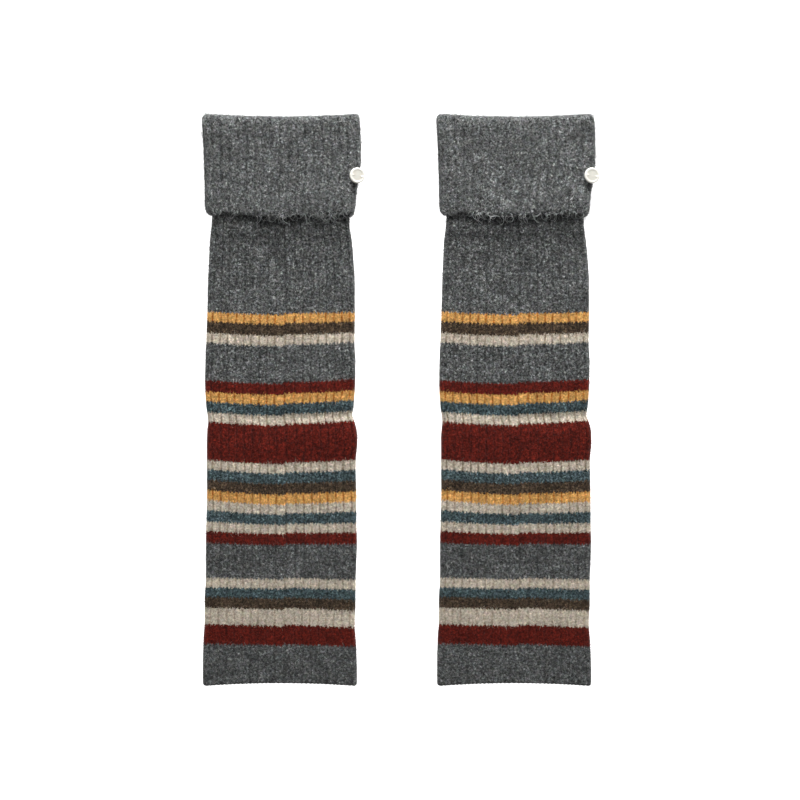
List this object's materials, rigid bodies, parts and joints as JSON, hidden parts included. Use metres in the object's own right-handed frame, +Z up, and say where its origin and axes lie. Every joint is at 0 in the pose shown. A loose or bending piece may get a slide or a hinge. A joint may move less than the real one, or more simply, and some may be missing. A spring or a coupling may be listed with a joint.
{
  "type": "pair of leg warmers",
  "caption": "Ribbed wool leg warmers in striped knit, laid flat side by side, with turned-down cuffs and a round button on each cuff.",
  "frame": {"origin": "centre of the pair's bounding box, on the surface it lies on", "axes": "+Z up from the surface, +Y from the hems to the cuffs, +X across the pair to the side that the buttons are on"},
  "size_m": [0.3178, 0.4568, 0.0155],
  "materials": {
    "striped_wool": "brushed rib knit, charcoal melange with brick red, amber, cream, teal and brown stripes",
    "cuff_wool": "brushed rib knit, charcoal melange",
    "button": "polished, pearly ivory"
  },
  "bodies": {
    "root": {"left_leg": "striped_wool", "left_cuff": "cuff_wool", "left_button": "button", "right_leg": "striped_wool", "right_cuff": "cuff_wool", "right_button": "button"}
  },
  "joints": []
}
